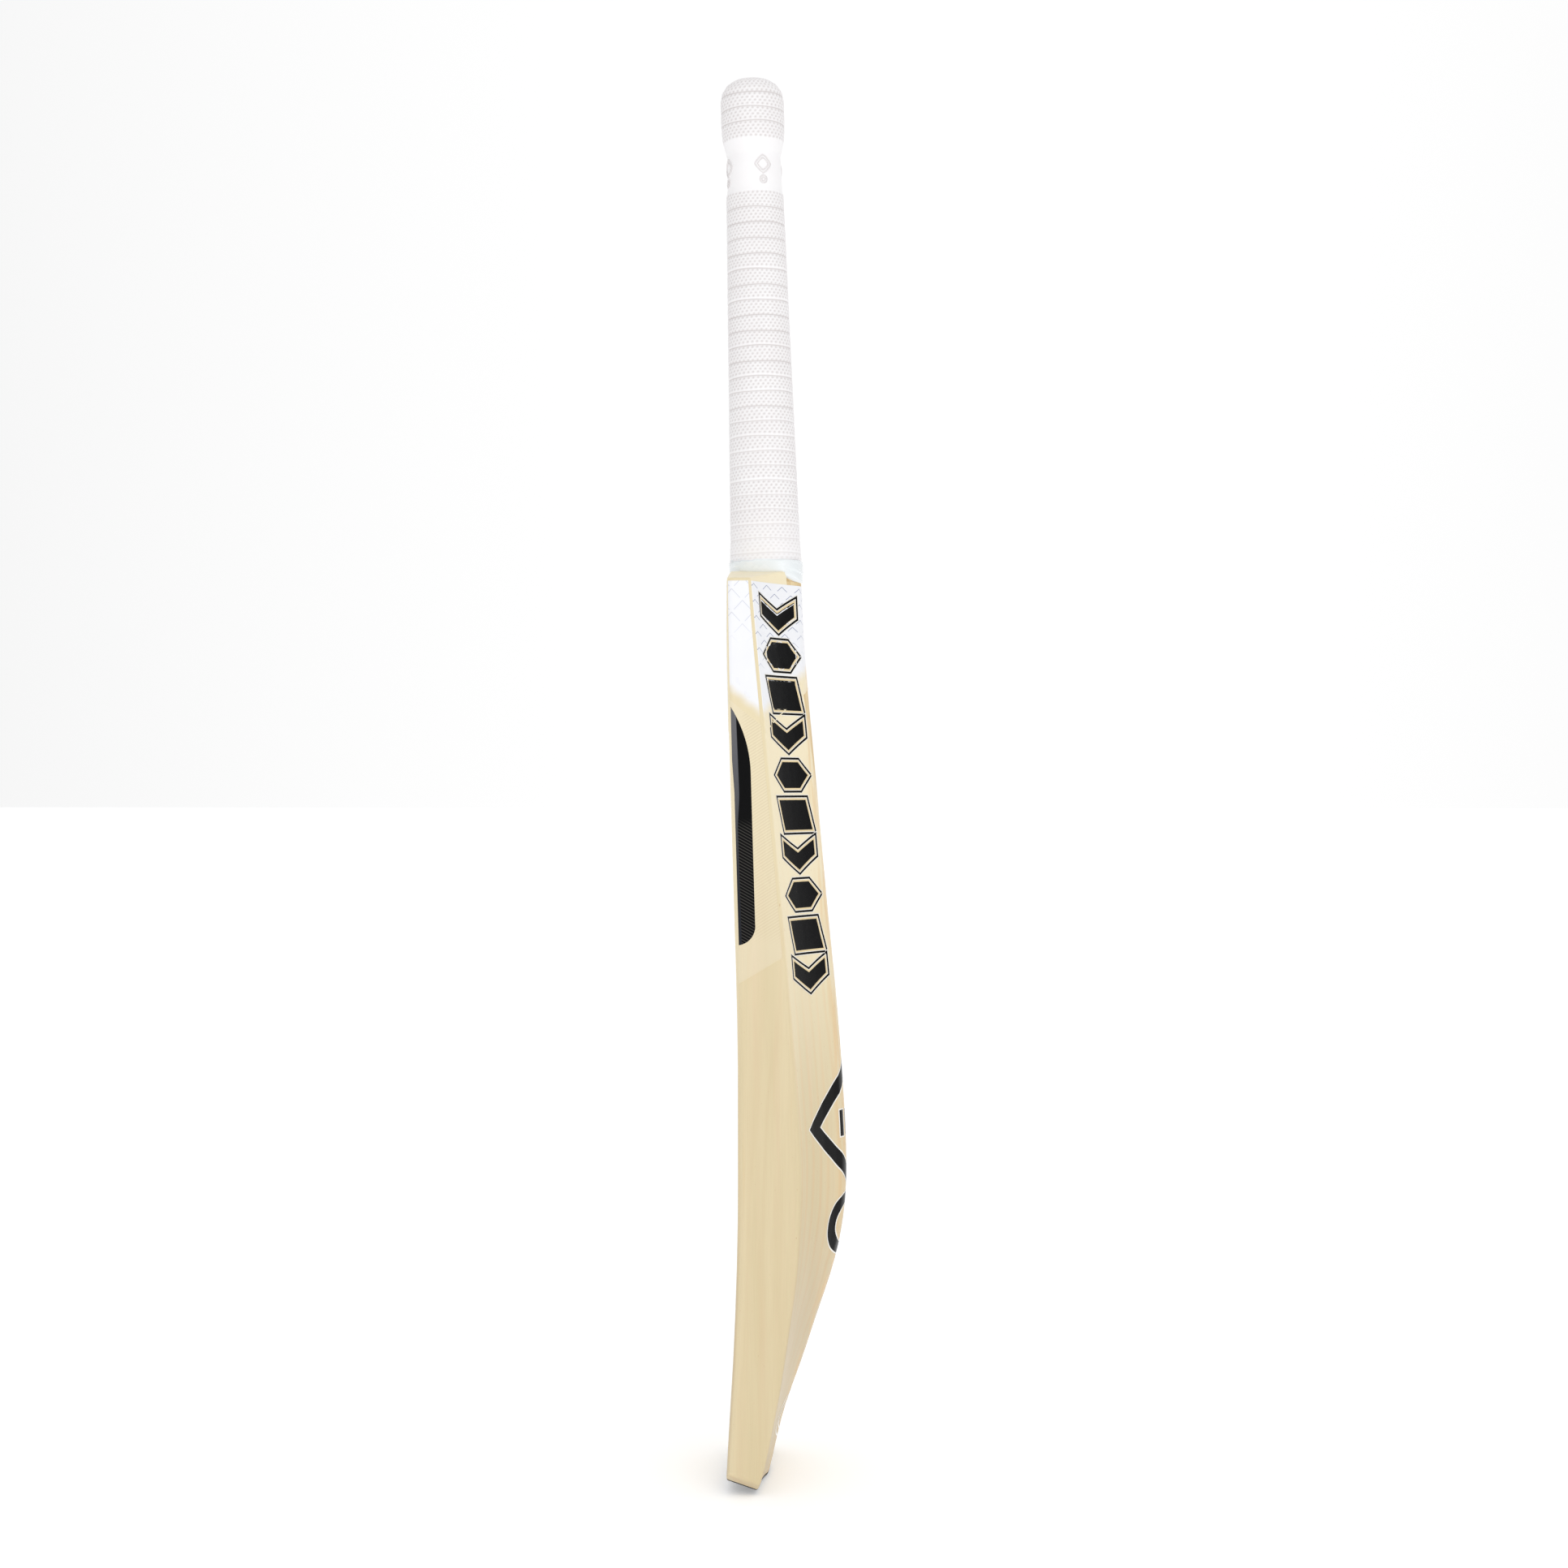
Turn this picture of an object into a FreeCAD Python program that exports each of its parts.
import FreeCAD, Part
import math
import os

# Cricket bat: a willow blade spliced to a laminated cane handle, bound with twine,
# sleeved with a moulded rubber grip, taped at the grip's foot, shod with a rubber toe
# guard and dressed with printed labels.
#
# Row frame, in millimetres: the origin is the middle of the toe guard's underside.
# +Z runs up the bat to the handle, +X across the blade, +Y out of the spine side, so
# the playing face looks along -Y.

Vec = FreeCAD.Vector

# ---- overall -------------------------------------------------------------------
blade_length = 545.5        # toe to the outer corner of the shoulders
handle_length = 312.8       # shoulders to the top of the grip, along the handle
blade_width = 108.0

# ---- blade section ---------------------------------------------------------------
edge_thickness = 37.3       # edge at its thickest, beside the swell
swell_depth = 62.8          # face line to spine at the swell
face_bow = 7.0              # hollow of the face line between toe and shoulders
face_line_y = -10.1         # face line at the toe and at the shoulders
face_crown = 1.2            # the face bulges this far beyond its two sides
face_corner = 4.0           # rounding of the corner between face and edge
back_corner = 1.8           # rounding of the corner between edge and back
spine_half_width = 9.0      # half of the rounded ridge
back_hollow = 1.6           # how far the slopes beside the ridge are scooped

# Rows along the blade: share of the blade length, share of the bow, share of the edge
# thickness, share of the swell depth. The first and last rows lie past the blade's ends.
blade_rows = [
    (-0.036, -0.20, 0.43, 0.30),
    (0.009, 0.00, 0.56, 0.38),
    (0.036, 0.11, 0.64, 0.42),
    (0.073, 0.27, 0.72, 0.49),
    (0.120, 0.50, 0.80, 0.61),
    (0.173, 0.71, 0.87, 0.74),
    (0.228, 0.87, 0.95, 0.88),
    (0.292, 0.98, 0.99, 0.98),
    (0.356, 1.00, 1.00, 1.00),
    (0.429, 1.00, 0.94, 0.97),
    (0.520, 0.93, 0.85, 0.92),
    (0.620, 0.71, 0.77, 0.86),
    (0.730, 0.46, 0.67, 0.80),
    (0.840, 0.21, 0.56, 0.74),
    (0.950, 0.04, 0.44, 0.68),
    (1.050, -0.04, 0.35, 0.64),
]

# ---- toe and shoulders -----------------------------------------------------------
toe_slant = 18.0            # degrees that the toe drops from face to back
toe_corner = 14.0           # rounding of the toe seen from the front
toe_overrun = 1.0           # the toe's round runs out this far past the edge
toe_edge_round = 1.6        # rounding of the rim of the toe
guard_thickness = 2.0
guard_bevel = 0.6           # bevel on the wood around the guard
shoulder_slope = 11.0       # degrees that the shoulders rise towards the handle
shoulder_round = 1.2        # rounding of the rim of the shoulders

# ---- splice and handle -----------------------------------------------------------
handle_lean = 1.7           # degrees that the handle leans towards the face
handle_depth = 20.3         # face line to handle axis, at the shoulders
splice_length = 132.0       # depth of the V below the shoulders
splice_tip = 2.5            # half width of the V's blunt tip
root_half_width = 17.0      # cane at the shoulders, half of its width and depth
root_half_depth = 19.2
top_half_width = 13.7       # cane at the top of the handle
top_half_depth = 13.6
root_height = 8.0           # height over which the cane stays square at the root
root_squareness = 3.0
tongue_top = 0.5            # the V's top ledge, above the shoulders
cane_slab_middle = 10.0     # thickness of the middle layer of canes
insert_thickness = 2.0      # rubber layer between two layers of canes
cane_strip_width = 8.0      # width of each of the two inner canes of a layer
cane_top_gap = 7.0          # rubber above the top of the canes

# ---- binding, grip and tape --------------------------------------------------------
binding_thickness = 0.8
binding_start = 8.0         # clear of the shoulders
grip_start = 10.0
grip_wall = 2.0             # textured sleeve
panel_wall = 1.3            # smooth panel below the top bulb
bulb_wall = 4.5
panel_start = 241.0         # all three measured up the handle
panel_end = 265.0
bulb_start = 275.0
dome_radius = 13.5          # rounding of the top of the bulb
grip_mouth = 8.0            # radius of the hole in the top of the grip
tape_thickness = 0.7
tape_end = 14.0

# ---- labels ------------------------------------------------------------------------
label_thickness = 0.25
label_margin = 1.3          # bare wood left along a corner
label_top_margin = 0.5      # bare wood left under the rounded rim of the shoulders
edge_white_drop_front = 73.0    # lower ends of the white labels, below the shoulders
edge_white_drop_back = 88.0
back_white_drop_edge = 93.0
back_white_drop_spine = 63.0
face_white_drop = 92.0
film_drop_front = 243.0     # slanted lower end of the clear edge film
film_drop_back = 227.0
wing_top = 77.0             # black edge label, below the shoulders
wing_bottom = 219.5
wing_width = 12.8           # from the face line to the label's rear border
wing_inset = 2.6            # from the face line to the label's front border
wing_tip_inset = 1.7        # the same beside the pointed tip
mark_count = 10             # printed row on each slope of the back
mark_pitch = 24.2
mark_height = 17.0          # along the blade
mark_width = 33.0           # across the blade
mark_drop = 21.0            # middle of the first mark, below the shoulders
emblem_height = 214.0       # middle of the diamond above the toe
emblem_half_width = 40.0
emblem_half_length = 38.0
emblem_stroke = 8.0
ball_height = 152.0         # middle of the ring below the diamond
ball_radius = 19.0
ball_stroke = 7.0
toe_oval_height = 34.0      # printed ovals on the back of the toe
toe_oval_half_width = 20.0
toe_oval_half_length = 14.5
toe_oval_line = 1.2
toe_oval_gap = 4.5

# ---- derived values ------------------------------------------------------------------
half_width = blade_width / 2.0
reach = blade_length        # longer than any cut through the blade
cane_length = handle_length - cane_top_gap


def form_at(z):
    """Face line, back corner and spine of the blade at height z."""
    share = z / blade_length
    for low, high in zip(blade_rows, blade_rows[1:]):
        if share <= high[0]:
            break
    part = (share - low[0]) / (high[0] - low[0])
    bow, edge, spine = [a + (b - a) * part for a, b in zip(low[1:], high[1:])]
    face = face_line_y + face_bow * bow
    return face, face + edge_thickness * edge, face + swell_depth * spine


# ---- small geometry helpers ------------------------------------------------------------
def line(start, end):
    return Part.LineSegment(start, end).toShape()


def arc(start, middle, end):
    return Part.Arc(start, middle, end).toShape()


def corner(point, towards_first, towards_second, run):
    """Start, middle and end of an arc that rounds a corner, run mm along each side."""
    first = (towards_first - point).normalize()
    second = (towards_second - point).normalize()
    bisector = (first + second).normalize()
    half_angle = math.acos(first.dot(bisector))
    centre_distance = run / math.cos(half_angle)
    radius = run * math.tan(half_angle)
    middle = point + bisector * (centre_distance - radius)
    return point + first * run, middle, point + second * run


def box(low, high):
    size = high - low
    return Part.makeBox(size.x, size.y, size.z, low)


def prism(points, direction):
    """Flat polygon swept along a direction, from half behind its plane to half before it."""
    polygon = Part.Face(Part.makePolygon(points + [points[0]]))
    polygon.translate(direction * -0.5)
    return polygon.extrude(direction)


def polygon(points):
    """Flat face in the XZ plane from (x, z) points."""
    corners = [Vec(x, 0, z) for x, z in points]
    return Part.Face(Part.makePolygon(corners + [corners[0]]))


def regular(sides, x, z, half_width, half_length):
    """Regular polygon stretched to a half width and a half length, one corner up."""
    points = []
    for side in range(sides):
        angle = math.pi / 2.0 + 2.0 * math.pi * side / sides
        points.append((x + half_width * math.cos(angle), z + half_length * math.sin(angle)))
    return polygon(points)


def ellipse(x, z, half_width, half_length):
    return regular(48, x, z, half_width, half_length)


def mirrored(shape):
    return shape.mirror(Vec(0, 0, 0), Vec(1, 0, 0))


# ---- blade -----------------------------------------------------------------------------
def blade_section(row, grow):
    """Closed outline across the blade at one row, grown outwards by a label's thickness."""
    z = row[0] * blade_length
    face, back, spine = form_at(z)
    side = half_width + grow
    face -= grow
    back += grow
    spine += grow
    slope = math.atan2(spine - back, side)
    ridge = Vec(spine_half_width, spine - spine_half_width * math.tan(slope / 2.0), z)
    face_start, face_middle, face_end = corner(
        Vec(side, face, z), Vec(0, face, z), Vec(side, back, z), face_corner + grow)
    back_start, back_middle, back_end = corner(
        Vec(side, back, z), Vec(side, face, z), ridge, back_corner + grow)
    across = ridge - back_end
    hollow = Vec(-across.y, across.x, 0).normalize() * back_hollow
    slope_middle = (back_end + ridge) * 0.5 + hollow

    def left(point):
        return Vec(-point.x, point.y, point.z)

    return Part.Wire([
        arc(left(face_start), Vec(0, face - face_crown, z), face_start),
        arc(face_start, face_middle, face_end),
        line(face_end, back_start),
        arc(back_start, back_middle, back_end),
        arc(back_end, slope_middle, ridge),
        arc(ridge, Vec(0, spine, z), left(ridge)),
        arc(left(ridge), left(slope_middle), left(back_end)),
        arc(left(back_end), left(back_middle), left(back_start)),
        line(left(back_start), left(face_end)),
        arc(left(face_end), left(face_middle), left(face_start)),
    ])


def blade_loft(grow):
    return Part.makeLoft([blade_section(row, grow) for row in blade_rows], True)


def toe_direction():
    """Unit vector along the toe, from the face down to the back."""
    angle = math.radians(toe_slant)
    return Vec(0, math.cos(angle), -math.sin(angle))


def toe_form(bottom):
    """Everything above the toe, its underside raised by bottom; rounded at both edges."""
    side = half_width + toe_overrun
    outline = Part.Wire([
        line(Vec(-side, 0, reach * 2), Vec(-side, 0, toe_corner)),
        arc(*toe_corner_arc(-side)),
        line(Vec(toe_corner - side, 0, 0), Vec(side - toe_corner, 0, 0)),
        arc(*reversed(toe_corner_arc(side))),
        line(Vec(side, 0, toe_corner), Vec(side, 0, reach * 2)),
        line(Vec(side, 0, reach * 2), Vec(-side, 0, reach * 2)),
    ])
    along = toe_direction() * reach
    face = Part.Face(outline)
    face.translate(along * -0.5)
    above = face.extrude(along)
    if bottom == 0:
        return above
    normal = Vec(0, math.sin(math.radians(toe_slant)), math.cos(math.radians(toe_slant)))
    floor = Part.makePlane(reach, reach)
    floor.translate(Vec(-reach / 2.0, -reach / 2.0, 0))
    floor.rotate(Vec(0, 0, 0), Vec(1, 0, 0), -toe_slant)
    floor.translate(normal * bottom)
    return above.common(floor.extrude(normal * reach * 3))


def toe_corner_arc(side):
    """Arc at one end of the toe, from the side down to the underside."""
    sign = math.copysign(1.0, side)
    corner_point = Vec(side, 0, 0)
    return corner(corner_point, Vec(side, 0, 1), Vec(side - sign, 0, 0), toe_corner)


def shoulder_form():
    """Everything below the shoulders, which rise from both edges to the handle."""
    side = half_width + reach
    rise = math.tan(math.radians(shoulder_slope))
    peak = blade_length + half_width * rise
    low = blade_length - reach * rise
    return prism([
        Vec(0, 0, peak), Vec(side, 0, low), Vec(side, 0, -reach),
        Vec(-side, 0, -reach), Vec(-side, 0, low)], Vec(0, reach, 0))


def rim(shape, on_rim):
    """Edges of a shape whose every sampled point passes a test."""
    found = []
    for edge in shape.Edges:
        if all(on_rim(point) for point in edge.discretize(7)):
            found.append(edge)
    return found


def height_over_toe(point):
    angle = math.radians(toe_slant)
    return point.y * math.sin(angle) + point.z * math.cos(angle)


def height_over_shoulders(point):
    rise = math.tan(math.radians(shoulder_slope))
    return point.z - blade_length - (half_width - abs(point.x)) * rise


def bat_outline():
    """Blade, splice and toe guard in one piece, with the toe and shoulders rounded."""
    body = blade_loft(0.0).common(toe_form(0.0)).common(shoulder_form())
    body = body.makeFillet(toe_edge_round, rim(body, lambda p: abs(height_over_toe(p)) < 0.001))
    shoulders = rim(body, lambda p: abs(height_over_shoulders(p)) < 0.001)
    return body.makeFillet(shoulder_round, shoulders)


# ---- handle ------------------------------------------------------------------------------
# The handle is drawn in its own frame: the origin on its axis at the shoulders, Z up the
# handle. It is then leaned towards the face and set on the blade.
def on_bat(shape):
    placed = shape.copy()
    placed.rotate(Vec(0, 0, 0), Vec(1, 0, 0), handle_lean)
    placed.translate(Vec(0, form_at(blade_length)[0] + handle_depth, blade_length))
    return placed


def oval(z, half_x, half_y, squareness):
    """Closed superellipse: squareness 2 is an ellipse, 4 a well rounded rectangle."""
    points = []
    steps = 32
    for step in range(steps):
        angle = 2.0 * math.pi * step / steps
        cosine, sine = math.cos(angle), math.sin(angle)
        x = math.copysign(half_x * abs(cosine) ** (2.0 / squareness), cosine)
        y = math.copysign(half_y * abs(sine) ** (2.0 / squareness), sine)
        points.append(Vec(x, y, z))
    curve = Part.BSplineCurve()
    curve.interpolate(Points=points, PeriodicFlag=True)
    return Part.Wire(curve.toShape())


def handle_size(z, grow):
    """Half width and half depth of the tapering canes at height z, grown by grow."""
    share = z / handle_length
    half_x = root_half_width + (top_half_width - root_half_width) * share
    half_y = root_half_depth + (top_half_depth - root_half_depth) * share
    return half_x + grow, half_y + grow


def cane_form(grow):
    """The canes as one tapering body, square at the root and oval above it."""
    rows = [(0.0, root_squareness)]
    for step in (1.0, 2.0, 3.0, 4.0, 5.0):
        fade = (1.0 + math.cos(math.pi * (step - 1.0) / 4.0)) / 2.0
        rows.append((root_height * step, 2.0 + (root_squareness - 2.0) * fade))
    rows.append((handle_length, 2.0))
    outlines = [oval(z, *handle_size(z, grow), square) for z, square in rows]
    return Part.makeLoft(outlines, True, True)


def handle_span(low, high):
    """Block across the whole handle between two heights."""
    return box(Vec(-reach, -reach, low), Vec(reach, reach, high))


def splice_slot():
    """The V cut through the whole depth of the blade, open at the shoulders."""
    side = root_half_width
    outline = [
        Vec(-splice_tip, 0, -splice_length), Vec(splice_tip, 0, -splice_length),
        Vec(side, 0, 0), Vec(side, 0, reach), Vec(-side, 0, reach), Vec(-side, 0, 0)]
    return on_bat(prism(outline, Vec(0, reach, 0)))


def handle_core(outline):
    """All the canes and rubber layers in one piece: the V tongue and the round handle."""
    tongue = outline.common(splice_slot()).common(on_bat(handle_span(-reach, tongue_top)))
    round_part = cane_form(0.0).common(handle_span(0.0, cane_length))
    return tongue.fuse(on_bat(round_part))


def handle_layers(core):
    """Canes in three layers of four, and the two rubber layers between them."""
    inner = cane_slab_middle / 2.0
    outer = inner + insert_thickness
    layers = {"front": (-reach, -outer), "middle": (-inner, inner), "back": (outer, reach)}
    strips = [-reach, -cane_strip_width, 0.0, cane_strip_width, reach]
    pieces = {}
    for layer, (front, back) in layers.items():
        for number, (left, right) in enumerate(zip(strips, strips[1:]), 1):
            block = box(Vec(left, front, -reach), Vec(right, back, reach))
            pieces["cane_%s_%d" % (layer, number)] = core.common(on_bat(block))
    for name, (front, back) in {"front": (-outer, -inner), "back": (inner, outer)}.items():
        block = box(Vec(-reach, front, -reach), Vec(reach, back, reach))
        pieces["rubber_insert_" + name] = core.common(on_bat(block))
    return pieces


def handle_binding():
    """Twine wound over the canes, as one thin sleeve."""
    sleeve = cane_form(binding_thickness).common(handle_span(binding_start, cane_length))
    return on_bat(sleeve.cut(cane_form(0.0)))


def grip_size(z, wall):
    """Half width and half depth over the grip at height z, for one wall thickness."""
    return handle_size(z, binding_thickness + wall)


def grip_outside():
    rows = [
        (grip_start, grip_size(grip_start, grip_wall)),
        (panel_start, grip_size(panel_start, grip_wall)),
        (panel_start + 2.0, grip_size(panel_start, panel_wall)),
        (panel_end, grip_size(panel_end, panel_wall)),
        (bulb_start, grip_size(bulb_start, bulb_wall * 0.85)),
        (bulb_start + 9.0, grip_size(bulb_start, bulb_wall)),
    ]
    half_x, half_y = rows[-1][1]
    for angle in (0.0, 22.5, 45.0, 67.5, 90.0):
        turn = math.radians(angle)
        inwards = dome_radius * (1.0 - math.cos(turn))
        height = handle_length - dome_radius * (1.0 - math.sin(turn))
        rows.append((height, (half_x - inwards, half_y - inwards)))
    return Part.makeLoft([oval(z, *sizes, 2.0) for z, sizes in rows], True, True)


def grip():
    """Moulded rubber sleeve with a smooth panel, a thick top bulb and a hole in its top."""
    sleeve = grip_outside()
    sleeve = sleeve.cut(cane_form(binding_thickness).common(handle_span(0.0, cane_length)))
    mouth = Part.makeCylinder(grip_mouth, handle_length, Vec(0, 0, grip_start))
    return on_bat(sleeve.cut(mouth))


def grip_tape(outline):
    """Tape over the foot of the grip, down to the shoulders all round."""
    thickness = grip_wall + tape_thickness
    rows = [(z, grip_size(z, thickness)) for z in (grip_start - 2.0, tape_end)]
    rows.insert(0, (tongue_top, grip_size(tongue_top, tape_thickness)))
    band = Part.makeLoft([oval(z, *sizes, 2.4) for z, sizes in rows], True, True)
    band = band.cut(cane_form(0.0))
    band = band.cut(cane_form(binding_thickness).common(handle_span(binding_start, reach)))
    return on_bat(band.cut(grip_outside())).cut(outline)


# ---- blade, toe guard -----------------------------------------------------------------------
def toe_guard(outline):
    return outline.cut(toe_form(guard_thickness))


def blade(outline):
    """Willow blade with the V slot for the splice and a bevel round the toe guard."""
    wood = outline.common(toe_form(guard_thickness)).cut(splice_slot())
    floor = rim(wood, lambda p: abs(height_over_toe(p) - guard_thickness) < 0.001)
    return wood.makeChamfer(guard_bevel, floor)


# ---- labels ----------------------------------------------------------------------------------
def label_skin(outline):
    """Thin layer over the whole blade, from which every label is cut."""
    layer = blade_loft(label_thickness)
    return layer.common(toe_form(0.0)).common(shoulder_form()).cut(outline)


def on_back(face, skin):
    """Part of the layer on the spine side behind a flat shape in the XZ plane."""
    return skin.common(face.extrude(Vec(0, reach, 0)))


def on_face(face, skin):
    return skin.common(face.extrude(Vec(0, -reach, 0)))


def on_right_edge(outline, skin):
    """Part of the layer on the +X edge behind a flat shape in the YZ plane."""
    return skin.common(outline.extrude(Vec(reach, 0, 0)))


def edge_panel(drop_front, drop_back):
    """Edge from the shoulders down to a slanted end, a margin in from both corners."""
    top = blade_length - shoulder_round - label_top_margin
    front, back = [], []
    for share in (0.0, 0.25, 0.5, 0.75, 1.0):
        z = top + (blade_length - drop_front - top) * share
        front.append(Vec(0, form_at(z)[0] + label_margin, z))
        z = top + (blade_length - drop_back - top) * share
        back.append(Vec(0, form_at(z)[1] - label_margin, z))
    points = front + back[::-1]
    return Part.Face(Part.makePolygon(points + [points[0]]))


def edge_wing():
    """Pointed top, bowed rear border, rounded lower end, along the edge's front corner."""
    def at(drop, offset):
        z = blade_length - drop
        return Vec(0, form_at(z)[0] + offset, z)

    tip = at(wing_top, wing_tip_inset)
    bow_end = at(wing_top + wing_width * 3.0, wing_width)
    round_start = at(wing_bottom - wing_width, wing_width)
    round_end = at(wing_bottom, wing_inset)
    front = at(wing_top + wing_width * 4.0, wing_inset)
    bow_middle = at(wing_top + wing_width * 1.1, wing_width * 0.66)
    round_middle = at(wing_bottom - wing_width * 0.25, wing_width * 0.72)
    middle = at((wing_top + wing_bottom) / 2.0 + wing_width * 2.0, wing_inset)
    shoulder = at(wing_top + wing_width * 2.5, wing_tip_inset)
    return Part.Face(Part.Wire([
        arc(tip, bow_middle, bow_end),
        line(bow_end, round_start),
        arc(round_start, round_middle, round_end),
        line(round_end, middle),
        line(middle, front),
        line(front, shoulder),
        line(shoulder, tip),
    ]))


def edge_labels(skin):
    """White shoulder label, black wing and the clear film around them, for one edge."""
    white = edge_panel(edge_white_drop_front, edge_white_drop_back)
    wing = edge_wing()
    film = edge_panel(film_drop_front, film_drop_back).cut(white).cut(wing)
    return {
        "edge_shoulder_label": on_right_edge(white, skin),
        "edge_wing_label": on_right_edge(wing, skin),
        "edge_clear_film": on_right_edge(film, skin),
    }


def shoulder_panel(side, drop_edge, drop_centre):
    """Panel across the blade below the shoulders, its lower end a shallow V."""
    top = blade_length - shoulder_round - label_top_margin
    return polygon([
        (-side, top), (-side, blade_length - drop_edge), (0, blade_length - drop_centre),
        (side, blade_length - drop_edge), (side, top), (0, top + label_top_margin)])


def chevron(x, z):
    side, tall = mark_width / 2.0, mark_height / 2.0
    return polygon([
        (x - side, z + tall), (x, z), (x + side, z + tall),
        (x + side, z), (x, z - tall), (x - side, z)])


def slanted_block(x, z):
    side, tall, lean = mark_width / 2.0, mark_height / 2.0, mark_width / 8.0
    return polygon([
        (x - side, z - tall), (x + side - lean, z - tall),
        (x + side, z + tall), (x - side + lean, z + tall)])


def printed_row():
    """Row of plain shapes down the slope beside the ridge."""
    shapes = []
    x = (half_width + label_margin) / 2.0
    for number in range(mark_count):
        z = blade_length - mark_drop - number * mark_pitch
        if number % 3 == 0:
            shapes.append(chevron(x, z))
        elif number % 3 == 1:
            shapes.append(regular(6, x, z, mark_width / 2.0, mark_height / 2.0))
        else:
            shapes.append(slanted_block(x, z))
    return Part.makeCompound(shapes)


def back_emblem():
    """Diamond frame with three upright bars in it, above a ring, across the ridge."""
    stroke = emblem_stroke
    frame = regular(4, 0, emblem_height, emblem_half_width, emblem_half_length).cut(
        regular(4, 0, emblem_height, emblem_half_width - stroke * 1.5,
                emblem_half_length - stroke * 1.5))
    inner = ball_radius - ball_stroke
    ring = ellipse(0, ball_height, ball_radius, ball_radius).cut(
        ellipse(0, ball_height, inner, inner))
    shapes = [frame, ring]
    for x in (-stroke, 0.0, stroke):
        shapes.append(polygon([
            (x - stroke / 4.0, emblem_height - stroke), (x + stroke / 4.0, emblem_height - stroke),
            (x + stroke / 4.0, emblem_height + stroke), (x - stroke / 4.0, emblem_height + stroke)]))
    return Part.makeCompound(shapes)


def toe_ovals():
    """Two thin printed ovals, one inside the other."""
    shapes = []
    for inset in (0.0, toe_oval_gap):
        half_x, half_z = toe_oval_half_width - inset, toe_oval_half_length - inset
        outer = ellipse(0, toe_oval_height, half_x, half_z)
        inner = ellipse(0, toe_oval_height, half_x - toe_oval_line, half_z - toe_oval_line)
        shapes.append(outer.cut(inner))
    return Part.makeCompound(shapes)


def labels(outline):
    skin = label_skin(outline)
    nodes = {}
    for name, shape in edge_labels(skin).items():
        nodes[name + "_right"] = shape
        nodes[name + "_left"] = mirrored(shape)
    white = shoulder_panel(half_width - label_margin, back_white_drop_edge, back_white_drop_spine)
    marks = printed_row()
    nodes["back_shoulder_label"] = on_back(white.cut(marks).cut(mirrored(marks)), skin)
    nodes["back_marks_right"] = on_back(marks, skin)
    nodes["back_marks_left"] = mirrored(nodes["back_marks_right"])
    nodes["back_emblem"] = on_back(back_emblem(), skin)
    nodes["toe_oval_label"] = on_back(toe_ovals(), skin)
    side = half_width - face_corner - label_margin
    nodes["face_shoulder_label"] = on_face(
        shoulder_panel(side, face_white_drop, face_white_drop * 0.8), skin)
    return nodes


# ---- build ---------------------------------------------------------------------------------
def build():
    outline = bat_outline()
    core = handle_core(outline)
    nodes = {"blade": blade(outline), "toe_guard": toe_guard(outline)}
    nodes.update(handle_layers(core))
    nodes["handle_binding"] = handle_binding()
    nodes["grip"] = grip()
    nodes["grip_tape"] = grip_tape(outline)
    nodes.update(labels(outline))
    return nodes


os.makedirs("parts", exist_ok=True)
for node, shape in build().items():
    shape.exportStep("parts/%s.step" % node)
